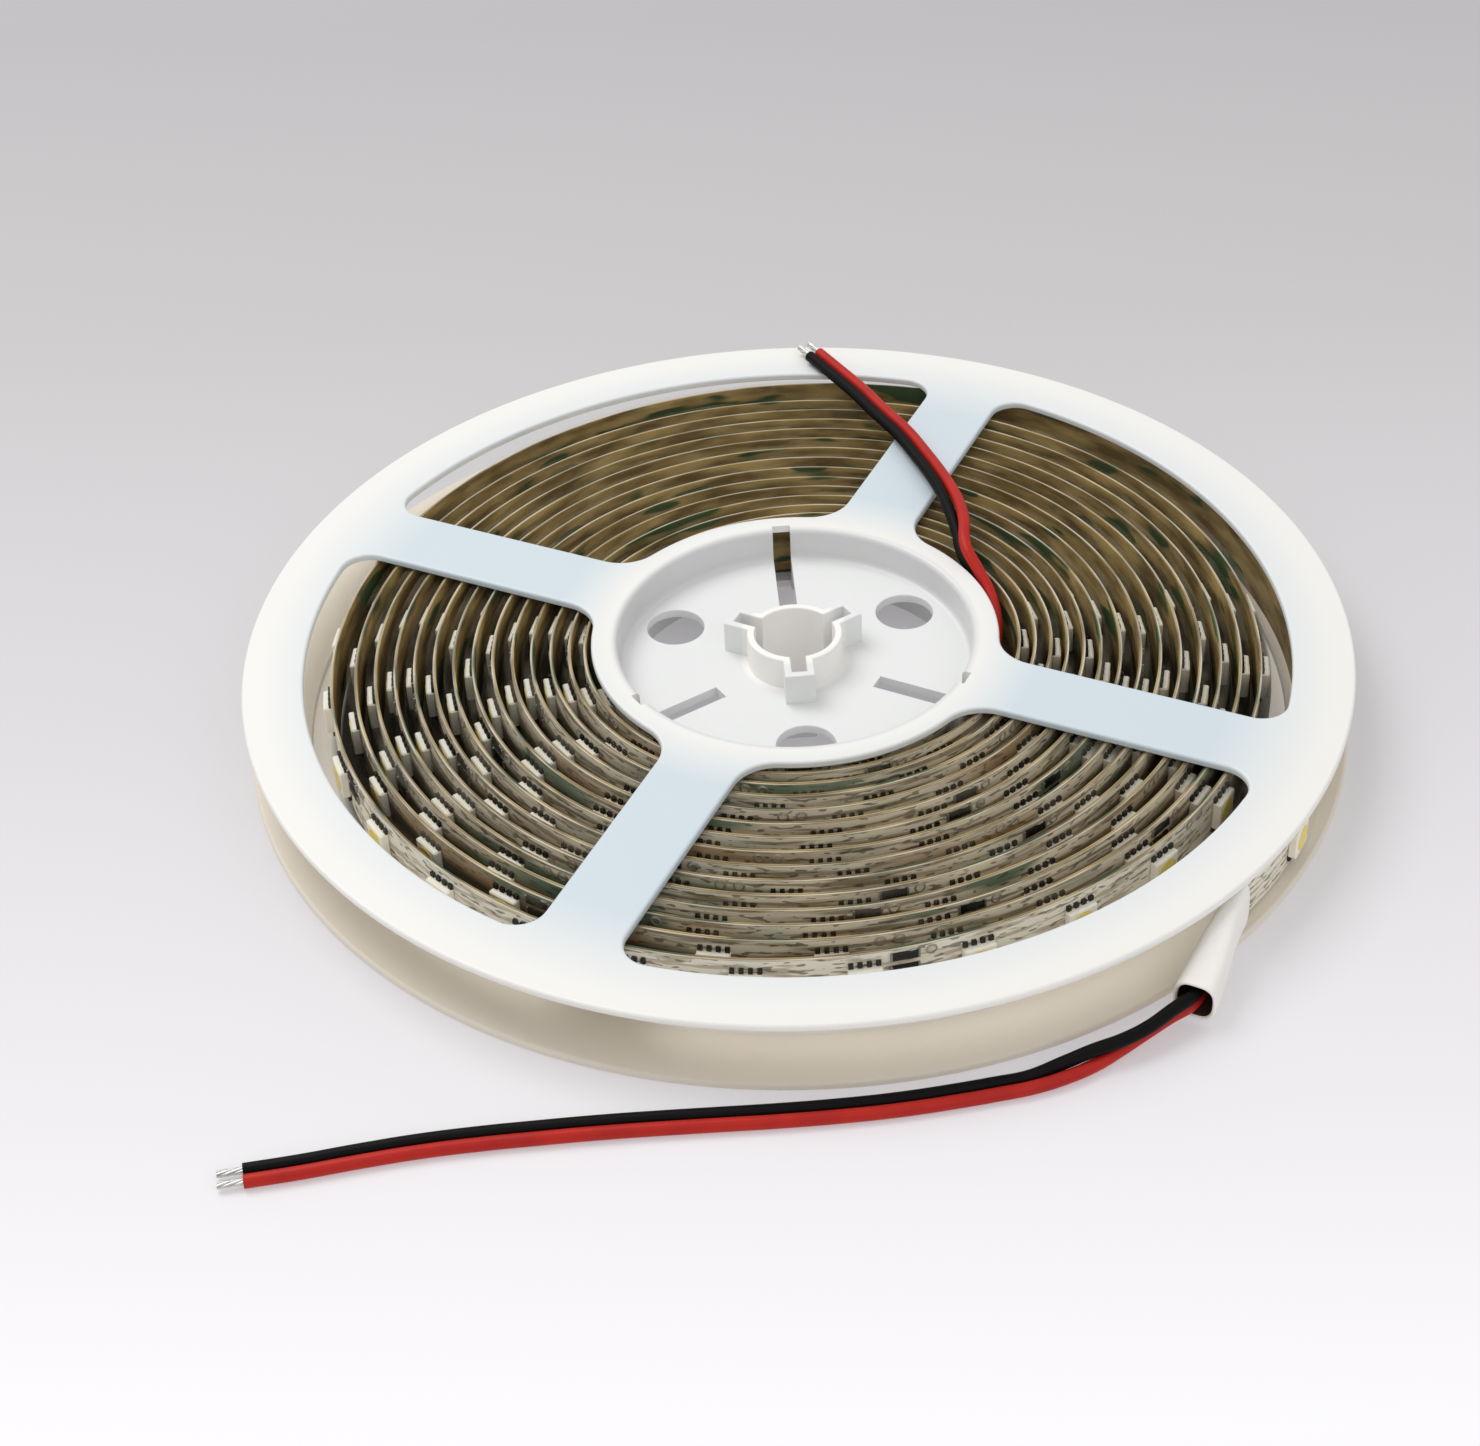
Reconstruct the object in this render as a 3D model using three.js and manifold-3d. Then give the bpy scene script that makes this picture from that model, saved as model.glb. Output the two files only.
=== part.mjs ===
// A reel of LED strip light: two identical moulded reel halves turned face to face, a flat
// silicone coated strip wound on the drum, and a twin lead on each end of the strip.
// Millimetres, +Z up. The origin is on the reel's axis, in the plane that the reel lies on.

import * as THREE from 'three';
import { LoftGeometry } from 'three/addons/geometries/LoftGeometry.js';
import * as BufferGeometryUtils from 'three/addons/utils/BufferGeometryUtils.js';
import Module from 'manifold-3d';

const wasm = await Module();
wasm.setup();

// Driving dimensions of the reel
const flangeRadius = 89;
const reelHeight = 12.8;
const flangeThickness = 1.3;
const edgeBevel = 0.35;
const drumRadius = 30;
const drumWall = 1.3;
const webThickness = 0.8;
const hubRingRadius = 33;
const windowOuterRadius = 79.2;
const spokeCount = 4;
const spokeWidth = 13;
const spokeOffset = -1.8;
const windowCornerRadius = 4.5;
const spokeFlareRadius = 7;
const lighteningHoleDiameter = 9.5;
const lighteningHoleCircleRadius = 22;
const slotWidth = 3;
const slotInnerRadius = 14.5;
const slotOverrun = 0.2;
const boreDiameter = 13.1;
const bossWall = 1.2;
const keySlotWidth = 2.45;
const keySlotReach = 10.4;
const keySlotCount = 3;
const patternAngle = 153.5;

// Driving dimensions of the strip and how it is wound. The rises, the bulge's half width and
// the travel along the winding are in degrees round the axis.
const seatGap = 0.3;
const stripThickness = 2.2;
const stripCrown = 0.5;
const stripCrownShare = 0.22;
const rollPitch = 3.15;
const rollTurns = 14.08;
const tightPitch = 2.55;
const tightTurns = 2.75;
const stripStartAngle = -40;
const springRise = 1.5;
const springEnd = 45;
const looseTurnRise = 6;
const looseRiseStart = 120;
const looseRiseEnd = 270;
const tailEndRadius = 87.4;
const tailRiseStart = 293;
const tailRiseEnd = 327;
const tailTravel = 334.6;
const windingStep = 10;
const bulgeHalfWidth = 110;
const bulgeSettledHeight = 2.05;
const leadExitAngle = 23;
const leadRoom = 0.7;

// Driving dimensions of the leads and the shrink sleeves
const wireDiameter = 2;
const wireSpacing = 2.3;
const wireSides = 8;
const tipDiameter = 1.1;
const tipLength = 4;
const sleeveWall = 0.6;
const sleeveSocketDepth = 4;
const sleeveEndHalfWidth = 3.2;
const sleeveEndHalfHeight = 3.3;
const sleeveStartHalfWidth = 1.7;
const sleeveSections = 8;
const sleeveSides = 16;
const innerSleeveTravel = 22;
const innerSleeveHalfThickness = 1.25;
const innerSleeveEndHalfHeight = 2.4;
const sleeveMouthHeight = 3.75;
const outerSleeveLength = 18.8;
const outerSleeveHeading = 243.1;
const sleeveDropStart = 0.35;
const sleeveShapeEnd = 0.6;
const innerSleeveTaperStart = 0.3;
const innerSleeveTaperEnd = 0.9;
const sleeveSidewaysPower = 0.5;
const sleeveUpwardsPower = 0.7;
const wireStep = 5;

// Sizes that follow from them
const halfHeight = reelHeight / 2;
const stripWidth = reelHeight - 2 * flangeThickness - 2 * seatGap;
const stripBottom = flangeThickness + seatGap;
const stripTop = stripBottom + stripWidth;
const rollInnerRadius = drumRadius + seatGap + stripThickness / 2;
const rollTravel = 360 * rollTurns;
const leadExitTravel = 360 + stripStartAngle - leadExitAngle;
const leadExitRadius = hubRingRadius + seatGap + wireDiameter + seatGap + leadRoom + stripThickness / 2;
const bulgeHeight = Math.max(0, leadExitRadius - rollInnerRadius - tightPitch * leadExitTravel / 360);

// Number of points on round outlines
const flangePoints = 72;
const drumPoints = 56;
const holePoints = 20;
const cornerPoints = 4;
const windowArcPoints = 14;
const hubArcPoints = 7;
const keyArcPoints = 6;

// How far a cutting solid reaches past the face that it cuts
const cutOverrun = 1;

const radians = THREE.MathUtils.degToRad;

const materials = {
  reel: new THREE.MeshStandardMaterial({ color: 0xf3f2ee, roughness: 0.42, metalness: 0 }),
  strip: new THREE.MeshStandardMaterial({ color: 0x8d8775, roughness: 0.38, metalness: 0 }),
  sleeve: new THREE.MeshStandardMaterial({ color: 0xf4f1ec, roughness: 0.5, metalness: 0 }),
  redWire: new THREE.MeshStandardMaterial({ color: 0xc8281e, roughness: 0.4, metalness: 0 }),
  blackWire: new THREE.MeshStandardMaterial({ color: 0x151414, roughness: 0.4, metalness: 0 }),
  tinned: new THREE.MeshStandardMaterial({ color: 0xc9c9c6, roughness: 0.35, metalness: 0.9 }),
};

const group = new THREE.Group();

function addPart(name, geometry, material) {
  const mesh = new THREE.Mesh(geometry, material);
  mesh.name = name;
  group.add(mesh);
  return mesh;
}

function polar(radius, degrees, z) {
  return new THREE.Vector3(radius * Math.cos(radians(degrees)), radius * Math.sin(radians(degrees)), z);
}

function ease(value, from, to) {
  return THREE.MathUtils.smoothstep(value, from, to);
}

// Solids for cutting and joining
function toSolid(geometry) {
  const bare = new THREE.BufferGeometry().copy(geometry);
  bare.deleteAttribute('normal');
  bare.deleteAttribute('uv');
  const merged = BufferGeometryUtils.mergeVertices(bare, 1e-5);
  return new wasm.Manifold(new wasm.Mesh({
    numProp: 3,
    vertProperties: new Float32Array(merged.attributes.position.array),
    triVerts: new Uint32Array(merged.index.array),
  }));
}

function toGeometry(solid) {
  const mesh = solid.getMesh();
  const geometry = new THREE.BufferGeometry();
  geometry.setAttribute('position', new THREE.BufferAttribute(new Float32Array(mesh.vertProperties), 3));
  geometry.setIndex(new THREE.BufferAttribute(new Uint32Array(mesh.triVerts), 1));
  geometry.computeVertexNormals();
  return geometry;
}

function centreOf(points) {
  return points.reduce((sum, point) => sum.add(point), new THREE.Vector3()).divideScalar(points.length);
}

// A closed loft, whichever way round its sections are listed: they have to run
// counterclockwise as seen from the far end
function loft(sections) {
  const [first, second] = sections;
  const centre = centreOf(first);
  const facing = new THREE.Vector3();
  first.forEach((point, i) => {
    const next = first[(i + 1) % first.length];
    facing.add(point.clone().sub(centre).cross(next.clone().sub(centre)));
  });
  const onward = centreOf(second).sub(centre);
  const ordered = facing.dot(onward) > 0 ? sections : sections.map((points) => [...points].reverse());
  return new LoftGeometry(ordered, { capStart: true, capEnd: true });
}

// Points of an arc about (x, y), from one angle to another in degrees
function arc(x, y, radius, from, to, steps) {
  const points = [];
  for (let i = 0; i <= steps; i++) {
    const angle = radians(from + (to - from) * i / steps);
    points.push(new THREE.Vector2(x + radius * Math.cos(angle), y + radius * Math.sin(angle)));
  }
  return points;
}

function degreesOf(x, y) {
  return THREE.MathUtils.radToDeg(Math.atan2(y, x));
}

function circle(radius, steps) {
  return arc(0, 0, radius, 0, 360, steps).slice(0, -1);
}

// One window between a spoke on the +X axis and the next spoke, with rounded outer corners
// and wide flares where the spokes run into the hub ring
function windowOutline() {
  const pitch = 360 / spokeCount;
  const side = spokeWidth / 2;
  const cornerY = side + windowCornerRadius;
  const cornerX = Math.sqrt((windowOuterRadius - windowCornerRadius) ** 2 - cornerY ** 2);
  const flareY = side + spokeFlareRadius;
  const flareX = Math.sqrt((hubRingRadius + spokeFlareRadius) ** 2 - flareY ** 2);
  const cornerAngle = degreesOf(cornerX, cornerY);
  const flareAngle = degreesOf(flareX, flareY);
  const lowerSide = [
    ...arc(flareX, flareY, spokeFlareRadius, 180 + flareAngle, 270, cornerPoints),
    ...arc(cornerX, cornerY, windowCornerRadius, 270, 360 + cornerAngle, cornerPoints),
  ];
  const outer = arc(0, 0, windowOuterRadius, cornerAngle, pitch - cornerAngle, windowArcPoints).slice(1, -1);
  const mirrorLine = radians(pitch / 2);
  const upperSide = lowerSide.map((point) => {
    const angle = 2 * mirrorLine - point.angle();
    const radius = point.length();
    return new THREE.Vector2(radius * Math.cos(angle), radius * Math.sin(angle));
  }).reverse();
  const inner = arc(0, 0, hubRingRadius, pitch - flareAngle, flareAngle, hubArcPoints).slice(1, -1);
  return [...lowerSide, ...outer, ...upperSide, ...inner];
}

function turned(points, degrees) {
  return points.map((point) => point.clone().rotateAround(new THREE.Vector2(), radians(degrees)));
}

// A round outline with square ears that reach out at each key slot
function keyedOutline(radius, keyWidth, reach) {
  const pitch = 360 / keySlotCount;
  const side = keyWidth / 2;
  const meet = THREE.MathUtils.radToDeg(Math.asin(side / radius));
  const points = [];
  for (let i = 0; i < keySlotCount; i++) {
    const ear = [new THREE.Vector2(reach, -side), new THREE.Vector2(reach, side)];
    points.push(...turned([...ear, ...arc(0, 0, radius, meet, pitch - meet, keyArcPoints)], i * pitch));
  }
  return points;
}

function prism(outline, bottom, top) {
  const geometry = new THREE.ExtrudeGeometry(new THREE.Shape(outline), {
    depth: top - bottom,
    bevelEnabled: false,
  });
  return geometry.translate(0, 0, bottom);
}

// The flange plate, with its four windows and a small bevel on every edge, limited by the rim
function flangePlate() {
  const bevel = Math.min(edgeBevel, (flangeRadius - windowOuterRadius) / 4);
  const plate = new THREE.Shape(circle(flangeRadius, flangePoints));
  for (let i = 0; i < spokeCount; i++) {
    plate.holes.push(new THREE.Path(turned(windowOutline(), i * 360 / spokeCount + spokeOffset)));
  }
  const geometry = new THREE.ExtrudeGeometry(plate, {
    depth: flangeThickness - 2 * bevel,
    bevelEnabled: true,
    bevelThickness: bevel,
    bevelSize: bevel,
    bevelOffset: -bevel,
    bevelSegments: 1,
  });
  return geometry.translate(0, 0, -halfHeight + bevel);
}

// The hollow of the hub dish, open at the outer face, with a bevelled mouth
function dishTool() {
  const radius = drumRadius - drumWall;
  const outside = -halfHeight - cutOverrun;
  const profile = [
    new THREE.Vector2(0, outside),
    new THREE.Vector2(radius + edgeBevel + cutOverrun, outside),
    new THREE.Vector2(radius, -halfHeight + edgeBevel),
    new THREE.Vector2(radius, -webThickness),
    new THREE.Vector2(0, -webThickness),
  ];
  return new THREE.LatheGeometry(profile, drumPoints).rotateX(Math.PI / 2);
}

// One moulded half, with its outer face down and the plane where the halves meet at z = 0
function reelHalf() {
  let half = toSolid(flangePlate());
  const drum = prism(circle(drumRadius, drumPoints), -halfHeight + flangeThickness / 2, 0);
  half = half.add(toSolid(drum));
  half = half.subtract(toSolid(dishTool()));
  const bossOutline = keyedOutline(boreDiameter / 2 + bossWall, keySlotWidth + 2 * bossWall,
    keySlotReach + bossWall);
  half = half.add(toSolid(prism(bossOutline, -halfHeight, -webThickness / 2)));
  const through = [-halfHeight - cutOverrun, cutOverrun];
  const boreOutline = keyedOutline(boreDiameter / 2, keySlotWidth, keySlotReach);
  half = half.subtract(toSolid(prism(boreOutline, ...through)));
  for (let i = 0; i < keySlotCount; i++) {
    const angle = i * 360 / keySlotCount;
    const hole = arc(lighteningHoleCircleRadius, 0, lighteningHoleDiameter / 2, 0, 360, holePoints);
    half = half.subtract(toSolid(prism(turned(hole.slice(0, -1), angle), ...through)));
    const slotLength = drumRadius + slotOverrun - slotInnerRadius;
    const slot = new THREE.BoxGeometry(slotLength, slotWidth, halfHeight + 2 * cutOverrun);
    slot.translate(slotInnerRadius + slotLength / 2, 0, -halfHeight / 2);
    slot.rotateZ(radians(angle + 180 / keySlotCount));
    half = half.subtract(toSolid(slot));
  }
  return toGeometry(half);
}

const halfGeometry = reelHalf();
const lowerHalf = addPart('reel_lower_half', halfGeometry, materials.reel);
lowerHalf.position.z = halfHeight;
lowerHalf.rotation.z = radians(patternAngle);

const upperTurn = new THREE.Group();
upperTurn.rotation.z = radians(patternAngle);
upperTurn.position.z = halfHeight;
const upperHalf = addPart('reel_upper_half', halfGeometry.clone(), materials.reel);
upperHalf.rotation.x = Math.PI;
upperTurn.add(upperHalf);
group.add(upperTurn);

// The strip's centre line: its distance from the axis after so many degrees of winding.
// It winds outwards clockwise, tightly at first, and bulges where the inner lead comes up
// beside the hub ring. The bulge settles as the turns over it have more room.
function rollRadius(travel) {
  const turns = travel / 360;
  const roomyTurns = Math.max(0, turns - tightTurns);
  const nearestPass = Math.max(0, Math.round((travel - leadExitTravel) / 360));
  const offset = Math.abs(travel - leadExitTravel - 360 * nearestPass);
  const settling = (rollPitch - tightPitch) * roomyTurns;
  const height = Math.max(Math.min(bulgeSettledHeight, bulgeHeight), bulgeHeight - settling);
  const swell = offset < bulgeHalfWidth ? Math.cos(offset / bulgeHalfWidth * Math.PI / 2) ** 2 : 0;
  const wound = tightPitch * (turns - roomyTurns) + rollPitch * roomyTurns;
  return rollInnerRadius + wound + height * swell;
}

// The last turn is loose: it springs away from the roll, and its end out to the flange's edge
const rollOuterRadius = rollRadius(rollTravel);

function windingRadius(travel) {
  if (travel <= rollTravel) {
    return rollRadius(travel);
  }
  const loose = travel - rollTravel;
  const sprung = springRise * ease(loose, 0, springEnd);
  const looseRadius = rollOuterRadius + sprung + looseTurnRise * ease(loose, looseRiseStart, looseRiseEnd);
  return THREE.MathUtils.lerp(looseRadius, tailEndRadius, ease(loose, tailRiseStart, tailRiseEnd));
}

function windingPoint(travel, offset, z) {
  const angle = radians(stripStartAngle - travel);
  const radius = windingRadius(travel) + offset;
  return new THREE.Vector3(radius * Math.cos(angle), radius * Math.sin(angle), z);
}

// The strip's section: flat backing towards the axis, crowned silicone on the outside
function stripSection(travel) {
  const back = -stripThickness / 2;
  const crown = stripThickness / 2;
  const shoulder = stripWidth * stripCrownShare;
  return [
    windingPoint(travel, back, stripBottom),
    windingPoint(travel, crown - stripCrown, stripBottom),
    windingPoint(travel, crown, stripBottom + shoulder),
    windingPoint(travel, crown, stripTop - shoulder),
    windingPoint(travel, crown - stripCrown, stripTop),
    windingPoint(travel, back, stripTop),
  ];
}

const stripEndTravel = rollTravel + tailTravel;
const stripSections = [];
for (let travel = 0; travel < stripEndTravel - windingStep / 2; travel += windingStep) {
  stripSections.push(stripSection(travel));
}
stripSections.push(stripSection(stripEndTravel));
addPart('led_strip', loft(stripSections), materials.strip);

// Points of a section about a centre: a superellipse between round and box-shaped
function sleeveSection(centre, across, halfWidth, halfHeightHere) {
  const points = [];
  for (let i = 0; i < sleeveSides; i++) {
    const angle = 2 * Math.PI * i / sleeveSides;
    const sideways = Math.sign(Math.cos(angle)) * Math.abs(Math.cos(angle)) ** sleeveSidewaysPower;
    const upwards = Math.sign(Math.sin(angle)) * Math.abs(Math.sin(angle)) ** sleeveUpwardsPower;
    const point = centre.clone().addScaledVector(across, halfWidth * sideways);
    point.z += halfHeightHere * upwards;
    points.push(point);
  }
  return points;
}

// The sleeve over the joint between the strip's outer end and its lead. It starts as flat as
// the strip and runs out over the flange's edge to an open, nearly round mouth.
const stripHalfWidth = stripWidth / 2;
const stripMiddle = stripBottom + stripHalfWidth;
const tailEndAngle = stripStartAngle - stripEndTravel;
const sleeveStartTurn = THREE.MathUtils.radToDeg(seatGap / tailEndRadius);
const outerSleeveStart = polar(tailEndRadius, tailEndAngle - sleeveStartTurn, stripMiddle);
const outerSleeveRun = polar(1, outerSleeveHeading, 0);
const outerSleeveAcross = new THREE.Vector3(-outerSleeveRun.y, outerSleeveRun.x, 0);
const stripEndAcross = polar(1, tailEndAngle, 0);

function outerSleeveAt(share, wall) {
  const centre = outerSleeveStart.clone().addScaledVector(outerSleeveRun, outerSleeveLength * share);
  centre.z = THREE.MathUtils.lerp(stripMiddle, sleeveMouthHeight, ease(share, sleeveDropStart, 1));
  const halfWidth = THREE.MathUtils.lerp(sleeveStartHalfWidth, sleeveEndHalfWidth, ease(share, 0, 1));
  const halfTall = THREE.MathUtils.lerp(stripHalfWidth, sleeveEndHalfHeight, ease(share, 0, sleeveShapeEnd));
  const across = stripEndAcross.clone().lerp(outerSleeveAcross, ease(share, 0, sleeveShapeEnd)).normalize();
  return sleeveSection(centre, across, halfWidth - wall, halfTall - wall);
}

const outerSleeveSections = [];
for (let i = 0; i <= sleeveSections; i++) {
  outerSleeveSections.push(outerSleeveAt(i / sleeveSections, 0));
}
const socketStart = 1 - sleeveSocketDepth / outerSleeveLength;
const socketEnd = 1 + cutOverrun / outerSleeveLength;
const socketSections = [outerSleeveAt(socketStart, sleeveWall), outerSleeveAt(socketEnd, sleeveWall)];
const outerSleeve = toSolid(loft(outerSleeveSections)).subtract(toSolid(loft(socketSections)));
addPart('outer_sleeve', toGeometry(outerSleeve), materials.sleeve);

// The sleeve on the strip's inner end, bent round the drum under the hub ring
const innerSleeveRadius = drumRadius + seatGap + innerSleeveHalfThickness;
const innerSleeveSections = [];
for (let i = 0; i <= sleeveSections; i++) {
  const share = i / sleeveSections;
  const startAngle = stripStartAngle + THREE.MathUtils.radToDeg(seatGap / rollInnerRadius);
  const angle = startAngle + innerSleeveTravel * share;
  const across = polar(1, angle, 0);
  const centre = across.clone().multiplyScalar(innerSleeveRadius).setZ(stripMiddle);
  const taper = ease(share, innerSleeveTaperStart, innerSleeveTaperEnd);
  const halfTall = THREE.MathUtils.lerp(stripHalfWidth, innerSleeveEndHalfHeight, taper);
  innerSleeveSections.push(sleeveSection(centre, across, innerSleeveHalfThickness, halfTall));
}
addPart('inner_sleeve', loft(innerSleeveSections), materials.sleeve);

// One wire of a twin lead. Each route point is x, y, z and the twist of the pair there:
// at 0 degrees the pair lies flat, at 90 degrees it stands on edge.
function wirePoints(route, side) {
  const centres = route.map(([x, y, z]) => new THREE.Vector3(x, y, z));
  return centres.map((centre, i) => {
    const before = centres[Math.max(0, i - 1)];
    const after = centres[Math.min(centres.length - 1, i + 1)];
    const along = after.clone().sub(before).setZ(0).normalize();
    const right = new THREE.Vector3(along.y, -along.x, 0);
    const twist = radians(route[i][3]);
    const shift = side * wireSpacing / 2;
    const point = centre.clone().addScaledVector(right, shift * Math.cos(twist));
    point.z += shift * Math.sin(twist);
    return point;
  });
}

function addWire(name, route, side, material) {
  const path = new THREE.CatmullRomCurve3(wirePoints(route, side), false, 'centripetal');
  const steps = Math.round(path.getLength() / wireStep);
  const section = new THREE.Shape(circle(wireDiameter / 2, wireSides));
  const insulation = new THREE.ExtrudeGeometry(section, { steps, extrudePath: path });
  addPart(name, insulation, material);
  const end = path.getPoint(1);
  const along = path.getTangent(1);
  const tip = new THREE.CylinderGeometry(tipDiameter / 2, tipDiameter / 2, tipLength, wireSides);
  tip.translate(0, tipLength / 2 + seatGap, 0);
  const mesh = addPart(name.replace('lead', 'lead_tip'), tip, materials.tinned);
  mesh.quaternion.setFromUnitVectors(new THREE.Vector3(0, 1, 0), along);
  mesh.position.copy(end);
}

// The outer lead leaves the sleeve's mouth, drops to the floor in front of the reel and lies
// there as it was let go
const outerLeadRoute = [
  [56.4, -73.8, 3.75, 90],
  [54.6, -76.7, 3.7, 95],
  [51.3, -79.1, 3.4, 105],
  [47.4, -81.8, 2.8, 110],
  [43.7, -84, 2.35, 95],
  [40, -85.9, 2.1, 60],
  [35.9, -87.6, 1.6, 25],
  [30.9, -89.3, 1.05, 0],
  [25.9, -90.4, 1, 0],
  [20.9, -91.4, 1, 0],
  [12.5, -92.8, 1, 0],
  [4.3, -93.7, 1, 0],
  [-4, -94.3, 1, 0],
  [-12.2, -94.7, 1, 0],
  [-20.5, -95.1, 1, 0],
  [-28.7, -95.6, 1, 0],
  [-36.9, -96.3, 1, 0],
  [-45, -97.1, 1, 0],
  [-53.2, -98.2, 1, 0],
  [-61.2, -99.7, 1, 0],
  [-69.2, -101.4, 1, 0],
  [-76.5, -102.7, 1, 0],
];
addWire('outer_lead_red', outerLeadRoute, -1, materials.redWire);
addWire('outer_lead_black', outerLeadRoute, 1, materials.blackWire);

// The inner lead runs round the drum on edge, comes up between the hub ring and the roll,
// crosses a spoke and ends on the far rim
const innerLeadRoute = [
  [30.3, -9.3, 6.4, 90],
  [31.3, -5, 6.4, 90],
  [32.2, -0.6, 6.5, 90],
  [32.9, 3.5, 6.9, 90],
  [33.2, 7.7, 8, 90],
  [32.4, 11.8, 9.9, 90],
  [30.7, 15.6, 11.9, 90],
  [28.8, 19.4, 13.8, 80],
  [28.4, 26, 14.8, 50],
  [27.7, 31.2, 15.15, 20],
  [26.7, 35.9, 15.2, 5],
  [25.3, 41.2, 14.95, 0],
  [23, 48, 14.75, 0],
  [20.1, 55.6, 14.6, 0],
  [16.4, 62.9, 14.45, 0],
  [12.4, 71.1, 14.3, 0],
  [8.5, 78.1, 14.15, 0],
  [5.2, 83.7, 14.15, 0],
];
addWire('inner_lead_red', innerLeadRoute, 1, materials.redWire);
addWire('inner_lead_black', innerLeadRoute, -1, materials.blackWire);

export default group;
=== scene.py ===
# A reel of LED strip light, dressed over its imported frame: a moulded reel in two halves,
# a silicone coated strip wound on it, and a twin lead at each end of the strip.
import bisect
import math

import bpy
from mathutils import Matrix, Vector


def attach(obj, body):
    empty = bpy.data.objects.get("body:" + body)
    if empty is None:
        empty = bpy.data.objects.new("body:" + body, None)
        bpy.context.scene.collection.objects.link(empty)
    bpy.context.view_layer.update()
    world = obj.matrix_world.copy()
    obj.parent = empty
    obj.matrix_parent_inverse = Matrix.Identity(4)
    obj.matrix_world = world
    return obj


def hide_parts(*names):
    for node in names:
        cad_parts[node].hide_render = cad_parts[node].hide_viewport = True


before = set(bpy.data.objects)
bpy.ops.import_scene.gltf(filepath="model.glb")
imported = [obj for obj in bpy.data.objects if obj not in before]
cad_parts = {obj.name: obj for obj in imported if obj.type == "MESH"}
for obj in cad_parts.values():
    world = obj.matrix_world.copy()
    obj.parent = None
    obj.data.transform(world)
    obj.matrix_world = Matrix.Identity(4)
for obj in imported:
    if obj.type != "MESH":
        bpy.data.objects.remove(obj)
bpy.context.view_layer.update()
mm = 0.001  # every size below is in millimetres until it becomes a mesh


# Small helpers for working as by hand

def choose(*pieces):
    if bpy.context.object and bpy.context.object.mode != "OBJECT":
        bpy.ops.object.mode_set(mode="OBJECT")
    bpy.ops.object.select_all(action="DESELECT")
    for piece in pieces:
        piece.select_set(True)
    bpy.context.view_layer.objects.active = pieces[0]


def applyModifier(piece, kind, **settings):
    choose(piece)
    bpy.ops.object.modifier_add(type=kind)
    modifier = piece.modifiers[-1]
    for name, value in settings.items():
        setattr(modifier, name, value)
    bpy.ops.object.modifier_apply(modifier=modifier.name)


def applyPlace(piece):
    choose(piece)
    bpy.ops.object.transform_apply(location=True, rotation=True, scale=True)


def flatBox(size, place):
    bpy.ops.object.select_all(action="DESELECT")
    bpy.ops.mesh.primitive_cube_add(size=1, location=(0, 0, 0))
    box = bpy.context.object
    box.scale = [length * mm for length in size]
    box.location = [length * mm for length in place]
    applyPlace(box)
    return box


def mergeAndFaceOut(piece, distance=1e-7):
    choose(piece)
    bpy.ops.object.mode_set(mode="EDIT")
    bpy.ops.mesh.select_all(action="SELECT")
    bpy.ops.mesh.remove_doubles(threshold=distance)
    bpy.ops.mesh.normals_make_consistent(inside=False)
    bpy.ops.object.mode_set(mode="OBJECT")


def joinPieces(name, pieces):
    choose(*pieces)
    bpy.ops.object.join()
    joined = bpy.context.object
    joined.name = name
    joined.data.name = name
    return joined


def smoothByAngle(piece, degrees=60, weighted=False):
    choose(piece)
    bpy.ops.object.shade_smooth_by_angle(angle=math.radians(degrees))
    if weighted:  # flat faces stay flat right up to their rounded edges
        applyModifier(piece, "WEIGHTED_NORMAL", keep_sharp=True, weight=80)


def meshPiece(name, points, faces, edges=()):
    mesh = bpy.data.meshes.new(name)
    mesh.from_pydata([Vector(point) * mm for point in points], list(edges), faces)
    piece = bpy.data.objects.new(name, mesh)
    bpy.context.collection.objects.link(piece)
    return piece


def arcPoints(x, y, radius, start, end, steps):
    points = []
    for i in range(steps + 1):
        angle = math.radians(start + (end - start) * i / steps)
        points.append((x + radius * math.cos(angle), y + radius * math.sin(angle)))
    return points


def turnPoints(points, degrees):
    cosine, sine = math.cos(math.radians(degrees)), math.sin(math.radians(degrees))
    return [(x * cosine - y * sine, x * sine + y * cosine) for x, y in points]


def loftedPiece(name, rings):  # rings of equal count, closed by a face at each end
    count = len(rings[0])
    points = [point for ring in rings for point in ring]
    faces = [tuple(range(count))[::-1], tuple(range(len(points) - count, len(points)))]
    for row in range(len(rings) - 1):
        for i in range(count):
            j = (i + 1) % count
            low, high = row * count, (row + 1) * count
            faces.append((low + i, low + j, high + j, high + i))
    piece = meshPiece(name, points, faces)
    mergeAndFaceOut(piece)
    return piece


def ease(value, start, end):
    share = min(max((value - start) / (end - start), 0), 1)
    return share * share * (3 - 2 * share)


def mix(first, second, share):
    return first + (second - first) * share


# The camera stands where the photograph was taken from

cameraLook = {
    "place": (0.0, -0.34351, 0.27102),
    "turn": (51.118, 2.075, -0.087),  # degrees
    "lens": 64.6,
    "sensor": 36.0,
    "clipStart": 0.01,
}


def addCamera():
    turn = [math.radians(angle) for angle in cameraLook["turn"]]
    bpy.ops.object.camera_add(location=cameraLook["place"], rotation=turn)
    camera = bpy.context.object
    camera.data.lens = cameraLook["lens"]
    camera.data.sensor_width = cameraLook["sensor"]
    camera.data.clip_start = cameraLook["clipStart"]
    bpy.context.scene.camera = camera


addCamera()
print("camera placed")


# Leads. Each route point is x, y, z and the twist of the pair there: at 0 degrees the pair
# lies flat, at 90 degrees it stands on edge.

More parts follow.
